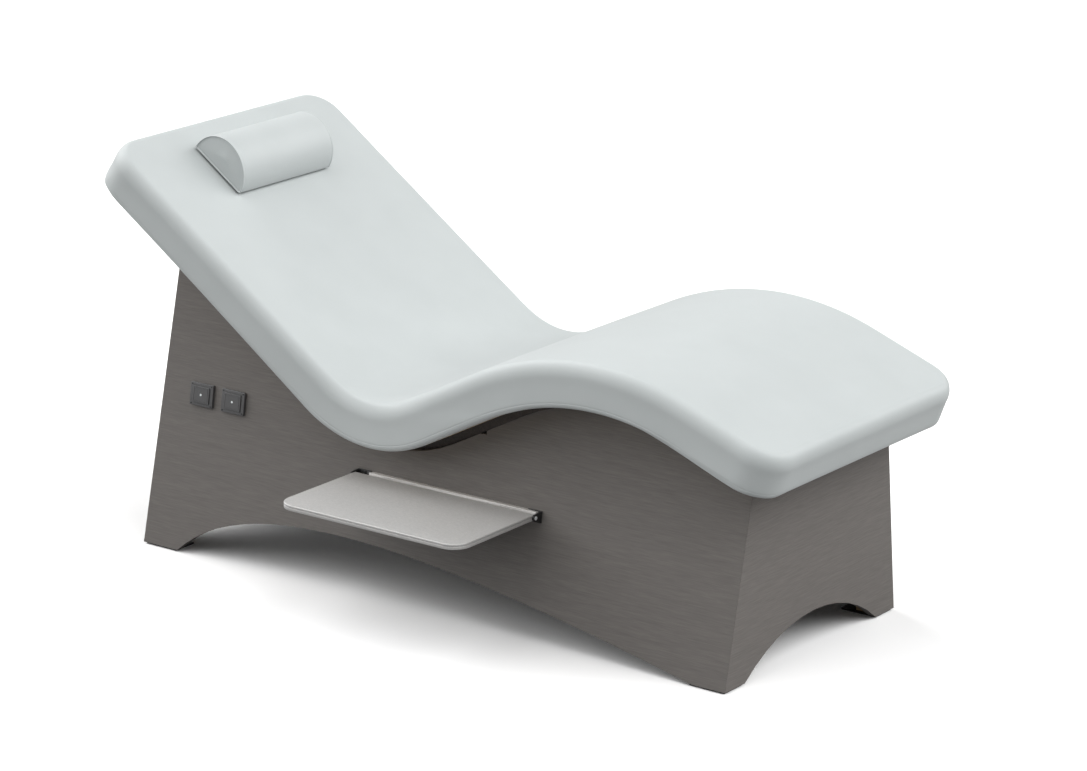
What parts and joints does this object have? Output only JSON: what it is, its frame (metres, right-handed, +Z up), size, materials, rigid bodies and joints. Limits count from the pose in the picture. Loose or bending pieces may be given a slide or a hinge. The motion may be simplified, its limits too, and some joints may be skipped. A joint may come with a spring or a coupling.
{
  "type": "spa relaxation lounger",
  "caption": "Wave-shaped upholstered spa lounger on a leaning laminate box base with arched feet, loose half-round head bolster, folding side shelf and two heating switches.",
  "frame": {"origin": "on the floor, under the middle of the outline of the whole lounger with its shelf unfolded", "axes": "+X along the lounger towards the foot end, +Y towards the side without the shelf, +Z up"},
  "size_m": [1.7548, 0.896, 0.8976],
  "materials": {
    "panel_laminate": "matte",
    "plywood": "matte",
    "dark_board": "matte",
    "upholstery": "matte",
    "foam": "matte",
    "heating_mat": "matte",
    "brushed_steel": "satin",
    "black_metal": "satin",
    "bright_steel": "polished",
    "switch_plastic": "satin",
    "switch_light": "gloss",
    "black_plastic": "matte",
    "circuit": "satin",
    "black_rubber": "matte"
  },
  "bodies": {
    "base": {"back_heating_mat": "heating_mat", "back_mat_lead": "black_rubber", "back_rail": "plywood", "bracket_screw_1": "bright_steel", "bracket_screw_2": "bright_steel", "bracket_screw_3": "bright_steel", "bracket_screw_4": "bright_steel", "circuit_board": "circuit", "control_case": "black_plastic", "corner_block_far_foot": "plywood", "corner_block_far_head": "plywood", "corner_block_near_foot": "plywood", "corner_block_near_head": "plywood", "deck_board": "dark_board", "far_side_panel": "panel_laminate", "floor_glide_far_foot": "black_plastic", "floor_glide_far_head": "black_plastic", "floor_glide_near_foot": "black_plastic", "floor_glide_near_head": "black_plastic", "foot_end_panel": "panel_laminate", "head_end_panel": "panel_laminate", "knee_rail": "plywood", "leg_heating_mat": "heating_mat", "leg_mat_lead": "black_rubber", "leg_rail": "plywood", "mains_inlet": "black_plastic", "mains_lead": "black_rubber", "near_side_panel": "panel_laminate", "pad_board": "plywood", "pad_bolt_1": "bright_steel", "pad_bolt_2": "bright_steel", "pad_bolt_3": "bright_steel", "pad_bolt_4": "bright_steel", "pad_cover": "upholstery", "pad_foam": "foam", "seat_rail": "plywood", "shelf_bracket_left": "black_metal", "shelf_bracket_right": "black_metal", "shelf_wall_rail": "brushed_steel", "switch_1_frame": "switch_plastic", "switch_1_housing": "black_plastic", "switch_1_lead": "black_rubber", "switch_1_spring": "bright_steel", "switch_2_frame": "switch_plastic", "switch_2_housing": "black_plastic", "switch_2_lead": "black_rubber", "switch_2_spring": "bright_steel", "wall_rail_screw_1": "bright_steel", "wall_rail_screw_2": "bright_steel"},
    "shelf": {"shelf_top": "brushed_steel", "shelf_core": "dark_board", "shelf_pivot_pin_left": "bright_steel", "shelf_pivot_pin_right": "bright_steel"},
    "switch_1_key": {"switch_1_key": "switch_plastic", "switch_1_light": "switch_light"},
    "switch_2_key": {"switch_2_key": "switch_plastic", "switch_2_light": "switch_light"},
    "bolster": {"bolster_cushion": "upholstery", "bolster_grip_pad": "black_rubber"}
  },
  "joints": [
    {"name": "shelf_fold", "type": "hinge", "parent": "base", "child": "shelf", "pos_m": [0.02465, -0.19853, 0.266], "axis": [1, 0, 0], "range_deg": [0, 81]},
    {"name": "switch_1_press", "type": "slide", "parent": "base", "child": "switch_1_key", "axis": [0, 0.9877, -0.1564], "range_m": [0, 0.002], "stiffness_N_per_m": 600, "springref_m": -0.003, "deforming": ["switch_1_spring"]},
    {"name": "switch_2_press", "type": "slide", "parent": "base", "child": "switch_2_key", "axis": [0, 0.9877, -0.1564], "range_m": [0, 0.002], "stiffness_N_per_m": 600, "springref_m": -0.003, "deforming": ["switch_2_spring"]},
    {"name": "bolster_lift", "type": "slide", "parent": "base", "child": "bolster", "axis": [0.575, 0, 0.8181], "range_m": [0, 0.12]}
  ]
}
